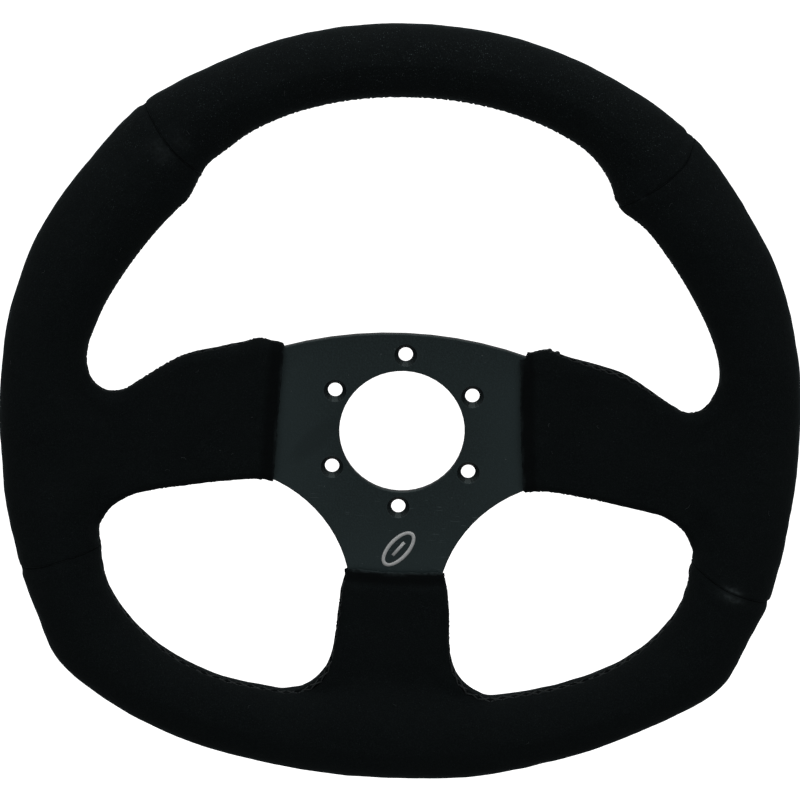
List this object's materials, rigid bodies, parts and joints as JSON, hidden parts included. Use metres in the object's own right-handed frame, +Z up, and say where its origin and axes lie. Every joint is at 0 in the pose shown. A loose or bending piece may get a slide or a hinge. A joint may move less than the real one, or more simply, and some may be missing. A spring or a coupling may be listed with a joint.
{
  "type": "flat-bottomed motorsport steering wheel",
  "caption": "Flat three-spoke D-shaped steering wheel: drilled black centre plate with a large bore, foam rim and laced suede cover.",
  "frame": {"origin": "on the hub axis at the back (mounting) face of the spoke plate", "axes": "+X to the driver's right, +Y away from the driver along the steering axis, +Z up in the wheel's plane; the wheel stands upright and the driver faces +Y"},
  "size_m": [0.354, 0.0312, 0.345],
  "materials": {
    "plate": "satin",
    "steel": "satin",
    "rivet": "satin",
    "foam": "matte",
    "suede": "matte",
    "thread": "matte"
  },
  "bodies": {
    "root": {"spoke_plate": "plate", "rim_hoop": "steel", "rivet_right_upper": "rivet", "rivet_right_lower": "rivet", "rivet_left_upper": "rivet", "rivet_left_lower": "rivet", "rivet_bottom_right": "rivet", "rivet_bottom_left": "rivet", "foam_core": "foam", "suede_top": "suede", "suede_left": "suede", "suede_right": "suede", "suede_bottom": "suede", "seam_thread_upper_right": "thread", "seam_thread_lower_right": "thread", "seam_thread_lower_left": "thread", "seam_thread_upper_left": "thread", "lacing_top": "thread", "lacing_right_upper": "thread", "lacing_left_upper": "thread", "lacing_right_lower": "thread", "lacing_left_lower": "thread", "lacing_bottom_right": "thread", "lacing_bottom_left": "thread"}
  },
  "joints": []
}
